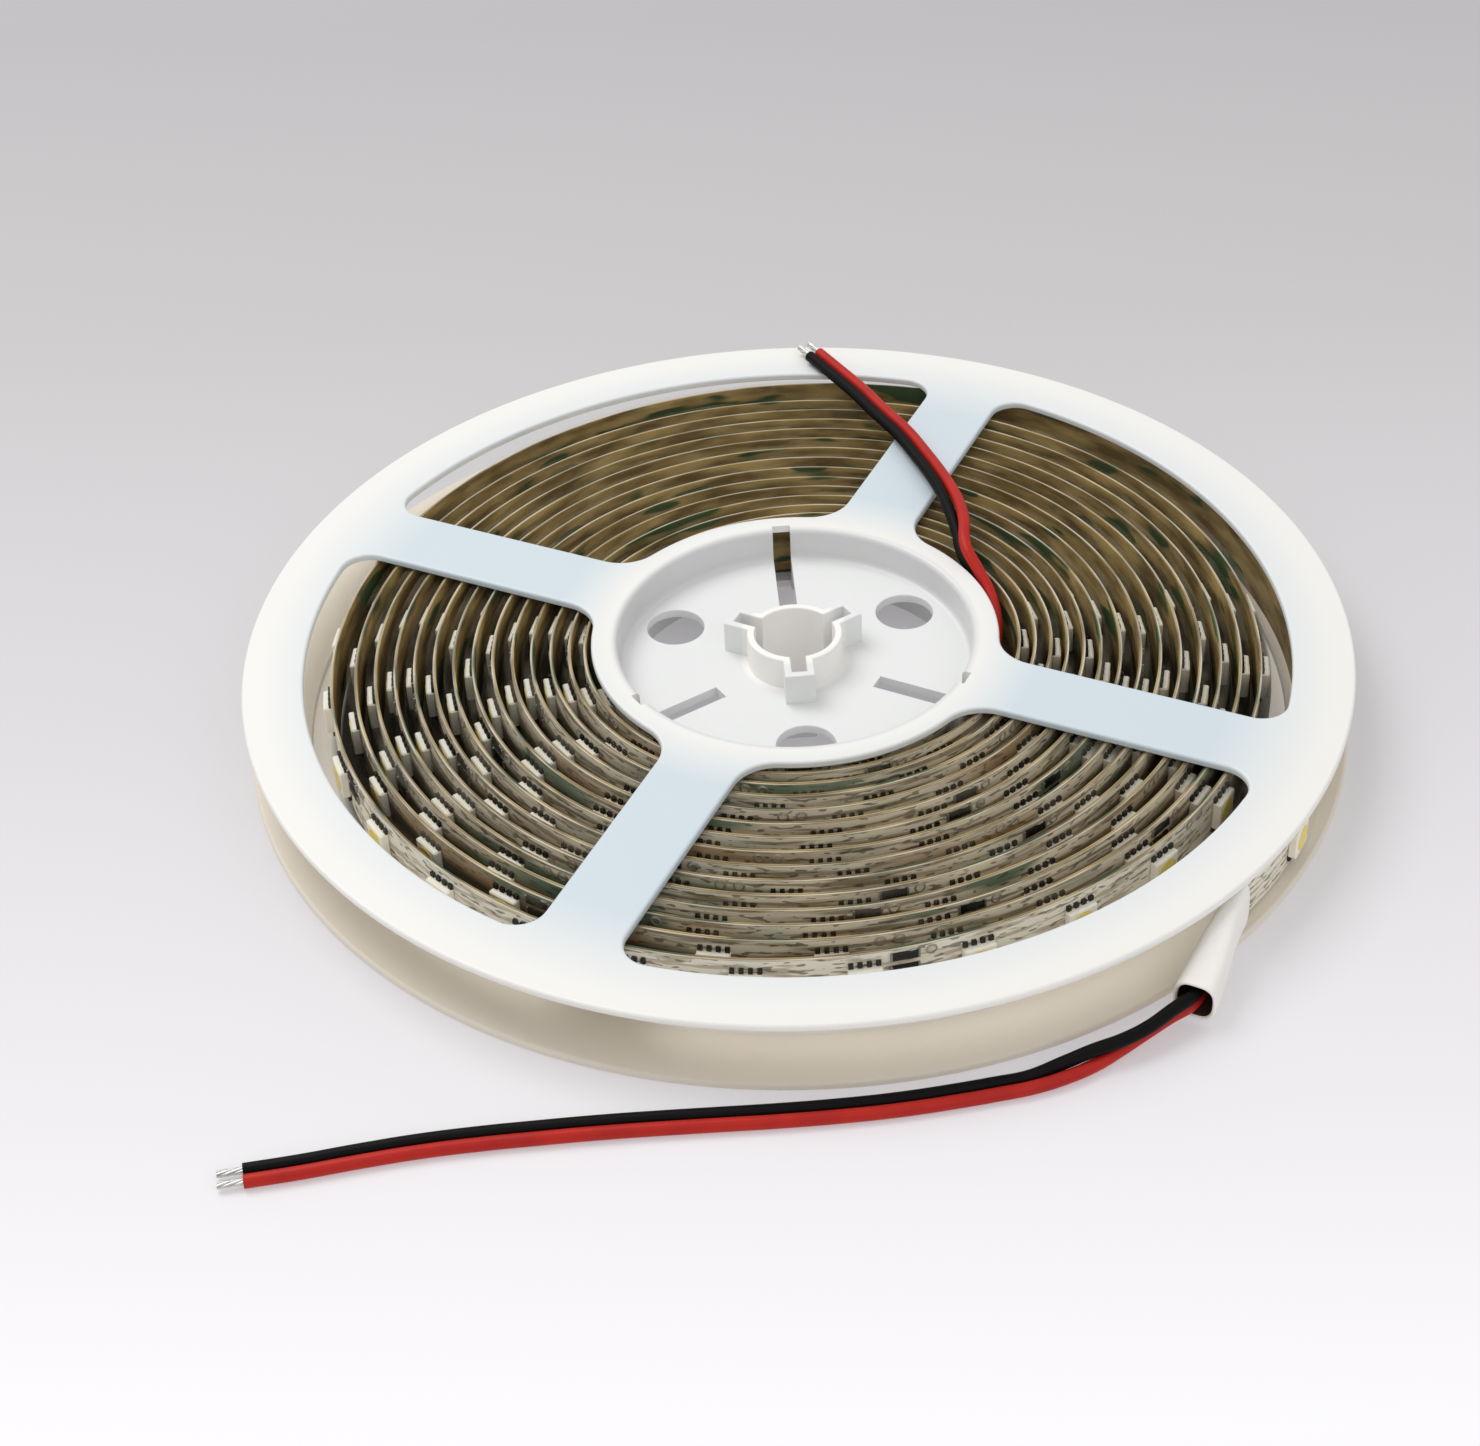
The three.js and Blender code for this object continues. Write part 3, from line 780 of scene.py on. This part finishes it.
def bossBlank():
    wall, edge = reelSizes["bossWall"], reelSizes["bossRound"]
    levels = [(-halfHeight, wall - edge), (-halfHeight + edge / 3, wall - edge / 3),
              (-halfHeight + edge, wall), (-reelSizes["web"] / 2, wall)]
    return cutterFrom(keyedOutline, levels)


def slotCutter(degrees):
    sizes = reelSizes
    length = sizes["drumRadius"] + sizes["slotPast"] - sizes["slotInner"]
    size = (length, sizes["slotWidth"], halfHeight + 2 * overrun)
    cutter = flatBox(size, (sizes["slotInner"] + length / 2, 0, -halfHeight / 2))
    cutter.rotation_euler.z = math.radians(degrees)
    applyPlace(cutter)
    return cutter


def openingsCutter():
    sizes = reelSizes
    face, inside = -halfHeight, -halfHeight + sizes["flange"]
    windowLevels = roundedLevels(face, inside, sizes["windowRound"], sizes["windowInnerRound"])
    cutters = []
    for i in range(sizes["spokeCount"]):
        angle = i * 360 / sizes["spokeCount"] + sizes["spokeOffset"]
        cutters.append(cutterFrom(windowOutline, windowLevels, angle))
    cutters.append(cutterFrom(keyedOutline, roundedLevels(face, 0, sizes["boreRound"], 0)))
    holeLevels = roundedLevels(-sizes["web"], 0, sizes["holeRound"], 0)
    for i in range(sizes["keyCount"]):
        angle = i * 360 / sizes["keyCount"]
        cutters.append(cutterFrom(holeOutline, holeLevels, angle))
        cutters.append(slotCutter(angle + 180 / sizes["keyCount"]))
    return joinPieces("cutter", cutters)


def mouldedHalf():
    half = spunHalf()
    boss = bossBlank()
    applyModifier(half, "BOOLEAN", operation="UNION", object=boss, solver="EXACT")
    cutter = openingsCutter()
    applyModifier(half, "BOOLEAN", operation="DIFFERENCE", object=cutter, solver="EXACT")
    for tool in (boss, cutter):
        bpy.data.objects.remove(tool)
    mergeAndFaceOut(half, reelSizes["cutMerge"] * mm)
    smoothByAngle(half, reelSizes["smoothBelow"], weighted=True)
    return half


def placeHalves():
    lower = mouldedHalf()
    choose(lower)
    bpy.ops.object.duplicate()
    upper = bpy.context.object
    turn = math.radians(reelSizes["patternAngle"])
    lower.name, upper.name = "lower_flange_and_hub", "upper_flange_and_hub"
    lower.rotation_euler = (0, 0, turn)
    upper.rotation_euler = (math.pi, 0, turn)
    for half, node in ((lower, "reel_lower_half"), (upper, "reel_upper_half")):
        half.location = (0, 0, halfHeight * mm)
        applyPlace(half)
        half.data.materials.append(finishes["moulded_white"])
        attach(half, "root")
        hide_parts(node)


placeHalves()
print("reel halves moulded")


# The strip is built flat and then wound: x runs along it, y away from the drum, z up

windingSizes = {
    "innerRadius": 31.4,
    "tightPitch": 2.55,  # the first turns are wound tighter than the rest
    "tightTurns": 2.75,
    "pitch": 3.15,
    "turns": 14.08,
    "startAngle": -40,
    "springRise": 1.5,
    "springEnd": 45,
    "looseRise": 6,
    "looseStart": 120,
    "looseEnd": 270,
    "tailRadius": 87.4,
    "tailStart": 293,
    "tailEnd": 327,
    "tailTravel": 334.6,
    "bulgeHalfWidth": 110,  # the turns swell where they cross the inner lead
    "bulgeSettled": 2.05,
    "exitTravel": 297,
    "exitRadius": 37.4,
    "step": 0.5,
}
rollTravel = 360 * windingSizes["turns"]


def rollRadius(travel):
    winding = windingSizes
    turns = travel / 360
    roomyTurns = max(0, turns - winding["tightTurns"])
    nearestPass = max(0, round((travel - winding["exitTravel"]) / 360))
    offset = abs(travel - winding["exitTravel"] - 360 * nearestPass)
    bulge = winding["exitRadius"] - winding["innerRadius"]
    bulge = bulge - winding["tightPitch"] * winding["exitTravel"] / 360
    settling = (winding["pitch"] - winding["tightPitch"]) * roomyTurns
    height = max(min(winding["bulgeSettled"], bulge), bulge - settling)
    swell = 0
    if offset < winding["bulgeHalfWidth"]:
        swell = math.cos(offset / winding["bulgeHalfWidth"] * math.pi / 2) ** 2
    wound = winding["tightPitch"] * (turns - roomyTurns) + winding["pitch"] * roomyTurns
    return winding["innerRadius"] + wound + height * swell


def windingRadius(travel):
    winding = windingSizes
    if travel <= rollTravel:
        return rollRadius(travel)
    loose = travel - rollTravel
    radius = rollRadius(rollTravel) + winding["springRise"] * ease(loose, 0, winding["springEnd"])
    radius += winding["looseRise"] * ease(loose, winding["looseStart"], winding["looseEnd"])
    return mix(radius, winding["tailRadius"], ease(loose, winding["tailStart"], winding["tailEnd"]))


def windingStations():
    travelEnd = rollTravel + windingSizes["tailTravel"]
    count = round(travelEnd / windingSizes["step"])
    spots, lengths = [], []
    for i in range(count + 1):
        travel = travelEnd * i / count
        angle = math.radians(windingSizes["startAngle"] - travel)
        radius = windingRadius(travel)
        spots.append(Vector((radius * math.cos(angle), radius * math.sin(angle), 0)))
        lengths.append(lengths[-1] + (spots[-1] - spots[-2]).length if i else 0.0)
    return spots, lengths


stationSpots, stationLengths = windingStations()
stripLength = stationLengths[-1]


def windPoint(along, outward, height):
    i = min(max(bisect.bisect(stationLengths, along) - 1, 0), len(stationSpots) - 2)
    share = (along - stationLengths[i]) / (stationLengths[i + 1] - stationLengths[i])
    step = stationSpots[i + 1] - stationSpots[i]
    onward = step.normalized()
    spot = stationSpots[i] + step * share + Vector((-onward.y, onward.x, 0)) * outward
    return Vector((spot.x, spot.y, height))


def windOnReel(piece):  # takes a piece that was made flat, in metres
    for vertex in piece.data.vertices:
        flat = vertex.co / mm
        vertex.co = windPoint(*flat) * mm


stripSizes = {
    "bottom": 1.6,
    "top": 11.2,
    "back": -1.1,
    "liner": 0.2,
    "circuit": 0.3,
    "circuitInset": 0.1,
    "crown": 1.1,
    "coatInset": 0.05,
    "coatTrim": 0.5,  # the coat stops this far from the strip's ends
    "coatSteps": 12,
    "coatOutPower": 0.45,  # powers below 1 make its section squarer
    "coatUpPower": 0.55,
    "tapeStep": 1.6,
    "firstLamp": 16.4,
    "lampPitch": 16.9,
    "groupLamps": 3,
}
stripMiddle = (stripSizes["bottom"] + stripSizes["top"]) / 2
circuitBack = stripSizes["back"] + stripSizes["liner"]
circuitFront = circuitBack + stripSizes["circuit"]


def sweptTape(name, section, trim=0.0):  # section is (outward, height) points
    count = round((stripLength - 2 * trim) / stripSizes["tapeStep"])
    rings = []
    for i in range(count + 1):
        along = mix(trim, stripLength - trim, i / count)
        rings.append([windPoint(along, outward, height) for outward, height in section])
    return loftedPiece(name, rings)


def tapeUv(piece, section):  # u is the length along the strip in centimetres, v its height
    layer = piece.data.uv_layers.new(name="tape")
    for polygon in piece.data.polygons:
        for loop, vertex in zip(polygon.loop_indices, polygon.vertices):
            row = vertex // len(section)
            height = piece.data.vertices[vertex].co.z / mm / 10
            layer.data[loop].uv = (row * stripSizes["tapeStep"] / 10, height)


def boxSection(back, front, low, high):
    return [(back, low), (front, low), (front, high), (back, high)]


def coatSection():
    sizes = stripSizes
    inset = sizes["coatInset"]
    low, high = sizes["bottom"] + inset, sizes["top"] - inset
    points = [(circuitFront - inset, high), (circuitFront - inset, low)]
    for i in range(1, sizes["coatSteps"]):
        angle = math.radians(-90 + 180 * i / sizes["coatSteps"])
        outward = (sizes["crown"] - circuitFront) * math.cos(angle) ** sizes["coatOutPower"]
        lift = math.copysign(abs(math.sin(angle)) ** sizes["coatUpPower"], math.sin(angle))
        points.append((circuitFront + outward, stripMiddle + (high - low) / 2 * lift))
    return points


def repeatAlong(piece, pitch, count):
    applyModifier(piece, "ARRAY", use_relative_offset=False, use_constant_offset=True,
                  constant_offset_displace=(pitch * mm, 0, 0), count=count)
    windOnReel(piece)


def finishStripPiece(piece, finish, name):
    piece.name = name
    if not piece.data.materials:
        piece.data.materials.append(finishes[finish])
    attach(piece, "root")


def addTapes():
    sizes = stripSizes
    low, high, inset = sizes["bottom"], sizes["top"], sizes["circuitInset"]
    backing = boxSection(sizes["back"], circuitBack, low, high)
    board = boxSection(circuitBack, circuitFront, low + inset, high - inset)
    for section, trim, finish, name in ((backing, 0, "brown_liner", "strip_brown_liner"),
                                        (board, 0, "flexible_circuit", "strip_circuit"),
                                        (coatSection(), sizes["coatTrim"], "clear_silicone",
                                         "strip_silicone_coat")):
        tape = sweptTape(name, section, trim)
        tapeUv(tape, section)
        finishStripPiece(tape, finish, name)
    smoothByAngle(tape)
    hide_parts("led_strip")


lampSizes = {
    "size": 5.0,
    "height": 1.4,
    "bevel": 0.22,
    "phosphorRadius": 2.0,
    "phosphorDepth": 0.12,
    "phosphorSides": 18,
    "smoothBelow": 30,  # degrees
    "endRoom": 2.6,
    "legPlaces": (-2.0, -0.67, 0.67, 2.0),
    "legSize": (0.7, 0.5, 0.9),
    "legTuck": 0.1,
}


def repeatLamps(piece):
    pitch = stripSizes["lampPitch"]
    count = int((stripLength - stripSizes["firstLamp"] - lampSizes["endRoom"]) / pitch) + 1
    repeatAlong(piece, pitch, count)


def addLamps():
    sizes, along = lampSizes, stripSizes["firstLamp"]
    middle = circuitFront + sizes["height"] / 2
    package = flatBox((sizes["size"], sizes["height"], sizes["size"]), (along, middle, stripMiddle))
    applyModifier(package, "BEVEL", width=sizes["bevel"] * mm, segments=1)
    package.data.materials.append(finishes["led_housing"])
    bpy.ops.object.select_all(action="DESELECT")
    front = circuitFront + sizes["height"]
    bpy.ops.mesh.primitive_cylinder_add(
        vertices=sizes["phosphorSides"], radius=sizes["phosphorRadius"] * mm,
        depth=sizes["phosphorDepth"] * mm, location=(along * mm, front * mm, stripMiddle * mm),
        rotation=(math.pi / 2, 0, 0))
    lens = bpy.context.object
    applyPlace(lens)
    lens.data.materials.append(finishes["led_phosphor"])
    package = joinPieces("package", [package, lens])
    repeatLamps(package)
    smoothByAngle(package, sizes["smoothBelow"])
    finishStripPiece(package, "led_housing", "strip_led_packages")


def addLegs():
    sizes = lampSizes
    thick, tall = sizes["legSize"][1:]
    reach = (sizes["size"] + tall) / 2 - sizes["legTuck"]
    legs = []
    for side in (-1, 1):
        for shift in sizes["legPlaces"]:
            place = (stripSizes["firstLamp"] + shift, circuitFront + thick / 2, stripMiddle + side * reach)
            legs.append(flatBox(sizes["legSize"], place))
    legs = joinPieces("legs", legs)
    repeatLamps(legs)
    finishStripPiece(legs, "shaded_lamp_legs", "strip_led_legs")


resistorSizes = {
    "firstPlace": 27.4,
    "size": (3.9, 0.35, 1.35),
    "heights": (9.8, 7.4),
    "groups": 2,  # a pair sits in every second group of lamps
    "capLength": 0.3,
    "capShift": 0.1,
    "capProud": 0.04,
    "endRoom": 4,
}


def addResistors():
    sizes = resistorSizes
    length, thick, tall = sizes["size"]
    along, middle = sizes["firstPlace"], circuitFront + thick / 2
    capSize = (sizes["capLength"], thick + sizes["capProud"], tall + sizes["capProud"])
    bodies, caps = [], []
    for height in sizes["heights"]:
        bodies.append(flatBox(sizes["size"], (along, middle, height)))
        for side in (-1, 1):
            shift = side * (length / 2 + sizes["capShift"])
            caps.append(flatBox(capSize, (along + shift, middle, height)))
    pitch = sizes["groups"] * stripSizes["groupLamps"] * stripSizes["lampPitch"]
    count = int((stripLength - along - sizes["endRoom"]) / pitch) + 1
    for boxes, finish, name in ((bodies, "resistor_body", "strip_resistors"),
                                (caps, "shaded_solder", "strip_resistor_ends")):
        piece = joinPieces(name, boxes)
        repeatAlong(piece, pitch, count)
        finishStripPiece(piece, finish, name)


padSizes = {
    "spread": 1.4,
    "height": 9.9,
    "lift": 0.04,
    "radius": 0.75,
    "thickness": 0.2,
    "sides": 10,
    "roundSides": 3,
}


def addPads():
    sizes = padSizes
    middle = stripSizes["firstLamp"] + 0.5 * stripSizes["lampPitch"]
    pads = []
    for side in (-1, 1):
        place = (middle + side * sizes["spread"], circuitFront + sizes["lift"], sizes["height"])
        bpy.ops.object.select_all(action="DESELECT")
        bpy.ops.mesh.primitive_torus_add(
            major_segments=sizes["sides"], minor_segments=sizes["roundSides"],
            major_radius=sizes["radius"] * mm, minor_radius=sizes["thickness"] * mm,
            location=[length * mm for length in place], rotation=(math.pi / 2, 0, 0))
        pads.append(bpy.context.object)
        applyPlace(bpy.context.object)
    pads = joinPieces("pads", pads)
    pitch = stripSizes["groupLamps"] * stripSizes["lampPitch"]
    repeatAlong(pads, pitch, int(stripLength / pitch) - 1)
    finishStripPiece(pads, "tinned_pad", "strip_cut_pads")


addTapes()
addLamps()
addLegs()
addResistors()
addPads()
print("strip wound")


# Shrink sleeves over the joints between the strip and its leads

sleeveSizes = {
    "wall": 0.6,
    "startHalfWidth": 1.7,
    "endHalfWidth": 3.2,
    "endHalfHeight": 3.3,
    "mouthHeight": 3.75,
    "length": 18.8,
    "heading": 243.1,  # degrees
    "dropStart": 0.35,  # shares of the length
    "shapeEnd": 0.6,
    "lip": ((1, 0), (1.012, 0.25), (1.015, 0.5), (1.012, 0.75), (1, 1)),  # and shares of the wall
    "socketDepth": 4,
    "socketSteps": 4,
    "sidePower": 0.6,  # powers below 1 make the section squarer
    "topPower": 0.75,
    "innerTravel": 22,
    "innerHalfThickness": 1.25,
    "innerEndHalfHeight": 2.4,
    "innerShapeStart": 0.3,
    "innerShapeEnd": 0.9,
    "gap": 0.3,
    "sides": 40,
    "rings": 24,
}
tailAngle = windingSizes["startAngle"] - rollTravel - windingSizes["tailTravel"]
stripHalfWidth = (stripSizes["top"] - stripSizes["bottom"]) / 2


def polarPoint(radius, degrees, height=0.0):
    angle = math.radians(degrees)
    return Vector((radius * math.cos(angle), radius * math.sin(angle), height))


def sleeveRing(centre, across, halfWidth, halfTall):
    ring = []
    for i in range(sleeveSizes["sides"]):
        angle = 2 * math.pi * i / sleeveSizes["sides"]
        cosine, sine = math.cos(angle), math.sin(angle)
        sideways = math.copysign(abs(cosine) ** sleeveSizes["sidePower"], cosine)
        upwards = math.copysign(abs(sine) ** sleeveSizes["topPower"], sine)
        ring.append(centre + across * (halfWidth * sideways) + Vector((0, 0, halfTall * upwards)))
    return ring


def outerSleeveRing(share, wall):
    sizes = sleeveSizes
    run = polarPoint(1, sizes["heading"])
    startTurn = math.degrees(sizes["gap"] / windingSizes["tailRadius"])
    start = polarPoint(windingSizes["tailRadius"], tailAngle - startTurn, stripMiddle)
    centre = start + run * (sizes["length"] * share)
    centre.z = mix(stripMiddle, sizes["mouthHeight"], ease(share, sizes["dropStart"], 1))
    shaped = ease(share, 0, sizes["shapeEnd"])
    halfWidth = mix(sizes["startHalfWidth"], sizes["endHalfWidth"], ease(share, 0, 1)) - wall
    halfTall = mix(stripHalfWidth, sizes["endHalfHeight"], shaped) - wall
    acrossRun = Vector((-run.y, run.x, 0))
    across = polarPoint(1, tailAngle).lerp(acrossRun, shaped).normalized()
    return sleeveRing(centre, across, halfWidth, halfTall)


def finishSleeve(sleeve, node, looks):
    smoothByAngle(sleeve)
    for look in looks:
        sleeve.data.materials.append(finishes[look])
    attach(sleeve, "root")
    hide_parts(node)


def addOuterSleeve():
    sizes = sleeveSizes
    rings = [outerSleeveRing(i / sizes["rings"], 0) for i in range(sizes["rings"])]
    for share, depth in sizes["lip"]:
        rings.append(outerSleeveRing(share, depth * sizes["wall"]))
    firstInside = 2 + (len(rings) - 1) * sizes["sides"]  # after the two end faces and the outer rows
    for i in range(1, sizes["socketSteps"] + 1):
        depth = sizes["socketDepth"] / sizes["length"] * i / sizes["socketSteps"]
        rings.append(outerSleeveRing(1 - depth, sizes["wall"]))
    sleeve = loftedPiece("outer_shrink_sleeve", rings)
    finishSleeve(sleeve, "outer_sleeve", ("white_shrink_sleeve", "sleeve_mouth_shade"))
    for polygon in sleeve.data.polygons:
        if polygon.index == 1 or polygon.index >= firstInside:
            polygon.material_index = 1


def addInnerSleeve():
    sizes = sleeveSizes
    radius = reelSizes["drumRadius"] + sizes["gap"] + sizes["innerHalfThickness"]
    start = windingSizes["startAngle"] + math.degrees(sizes["gap"] / windingSizes["innerRadius"])
    rings = []
    for i in range(sizes["rings"] + 1):
        share = i / sizes["rings"]
        across = polarPoint(1, start + sizes["innerTravel"] * share)
        centre = across * radius + Vector((0, 0, stripMiddle))
        shaped = ease(share, sizes["innerShapeStart"], sizes["innerShapeEnd"])
        halfTall = mix(stripHalfWidth, sizes["innerEndHalfHeight"], shaped)
        rings.append(sleeveRing(centre, across, sizes["innerHalfThickness"], halfTall))
    sleeve = loftedPiece("inner_shrink_sleeve", rings)
    finishSleeve(sleeve, "inner_sleeve", ("white_shrink_sleeve",))


addOuterSleeve()
addInnerSleeve()
print("sleeves shrunk on")


# Pale floor and plain studio light

studioLook = {
    "floorSize": 6,  # metres
    # painted light: the floor grows darker away from the camera
    "floorStops": ((0.265, (0.505, 0.492, 0.505)), (0.12, (0.58, 0.565, 0.572)),
                   (-0.006, (0.715, 0.70, 0.72)), (-0.093, (0.86, 0.84, 0.865)),
                   (-0.146, (0.97, 0.955, 0.975))),
    "floorPlain": (0.8, 0.8, 0.8),
    "floorRoughness": 0.9,
    "floorShine": 0.1,
    "glow": 0.34,  # share of the floor's brightness that no shadow dims
    "shadeColour": (0.03, 0.027, 0.022),
    "shadeStart": 0.031,  # painted shade: the floor under the winding stays dark, between these radii
    "shadeEnd": 0.0745,
    "rimPaintedLight": (0.80, 0.75, 0.66),  # painted warm light under the rim, out to this radius
    "rimEnd": 0.085,
    "edgeBlur": 0.002,
    "worldStrength": 0.62,
    "keyPower": 6.0,
    "keyPlace": (-0.45, 0.35, 0.95),
    "keySize": 0.7,
    "fillPower": 1.6,
    "fillPlace": (0.5, -0.7, 0.8),
    "fillSize": 0.9,
}


def floorColour(tree, spot):  # painted light and shade: paler towards the camera, painted shade under the winding, painted warm light under the rim
    look = studioLook
    stops, blur = look["floorStops"], look["edgeBlur"]
    colour = colourStops(tree, coordinate(tree, spot, "Y"), stops, stops[0][0], stops[-1][0])
    distance = axisDistance(tree, spot)
    inside = spreadOver(tree, distance, look["shadeStart"], look["shadeStart"] + blur)
    shade = spreadOver(tree, distance, look["shadeEnd"], look["shadeEnd"] + blur, inside, 0)
    rim = spreadOver(tree, distance, look["rimEnd"], look["rimEnd"] + blur, inside, 0)
    colour = blendColours(tree, rim, colour, look["rimPaintedLight"])
    return blendColours(tree, shade, colour, look["shadeColour"])


def addFloor():
    look = studioLook
    bpy.ops.object.select_all(action="DESELECT")
    bpy.ops.mesh.primitive_plane_add(size=look["floorSize"], location=(0, 0, 0))
    floor = bpy.context.object
    floor.name = "studio_floor"
    finish, tree, shader = newFinish("studio_floor", look["floorPlain"], look["floorRoughness"])
    colour = floorColour(tree, objectSpot(tree))
    dimmed = tree.nodes.new("ShaderNodeVectorMath")
    dimmed.operation = "SCALE"
    dimmed.inputs["Scale"].default_value = 1 - look["glow"]
    tree.links.new(colour, dimmed.inputs[0])
    tree.links.new(dimmed.outputs["Vector"], shader.inputs["Base Color"])
    tree.links.new(colour, shader.inputs["Emission Color"])
    shader.inputs["Emission Strength"].default_value = look["glow"]
    shader.inputs["Specular IOR Level"].default_value = look["floorShine"]
    floor.data.materials.append(finish)


def addLamp(power, place, size):
    aim = (Vector((0, 0, 0)) - Vector(place)).to_track_quat("-Z", "Y").to_euler()
    bpy.ops.object.light_add(type="AREA", location=place, rotation=aim)
    lamp = bpy.context.object
    lamp.data.energy = power
    lamp.data.size = size


def addStudio():
    addFloor()
    addLamp(studioLook["keyPower"], studioLook["keyPlace"], studioLook["keySize"])
    addLamp(studioLook["fillPower"], studioLook["fillPlace"], studioLook["fillSize"])
    world = bpy.data.worlds.new("studio")
    bpy.context.scene.world = world
    world.use_nodes = True
    background = world.node_tree.nodes["Background"]
    background.inputs["Color"].default_value = (1, 1, 1, 1)
    background.inputs["Strength"].default_value = studioLook["worldStrength"]
    bpy.context.scene.view_settings.view_transform = "Standard"


addStudio()
print("studio lit")
